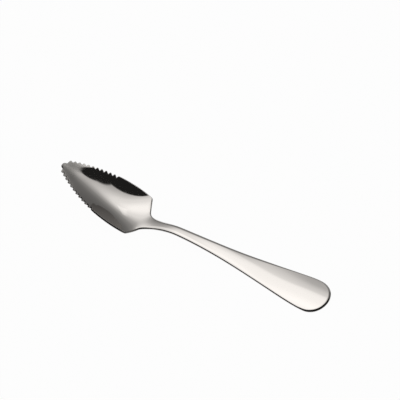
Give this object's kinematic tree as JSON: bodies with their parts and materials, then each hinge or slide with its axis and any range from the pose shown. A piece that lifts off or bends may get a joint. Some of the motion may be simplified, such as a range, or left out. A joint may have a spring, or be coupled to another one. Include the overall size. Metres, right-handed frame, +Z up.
{
  "type": "grapefruit spoon",
  "caption": "Grapefruit spoon pressed from one sheet of polished stainless steel, with a pointed open-backed bowl, toothed front rims and a slim handle that broadens to a round end",
  "frame": {"origin": "middle of the length and width, on the table that the bowl's sole and the handle end rest on", "axes": "+X from the tip of the bowl to the handle end, +Y across the spoon, +Z up out of the bowl"},
  "size_m": [0.1686, 0.0312, 0.0205],
  "materials": {
    "polished_steel": "bare stainless steel, mirror polished all over"
  },
  "bodies": {
    "root": {"spoon": "polished_steel"}
  },
  "joints": []
}
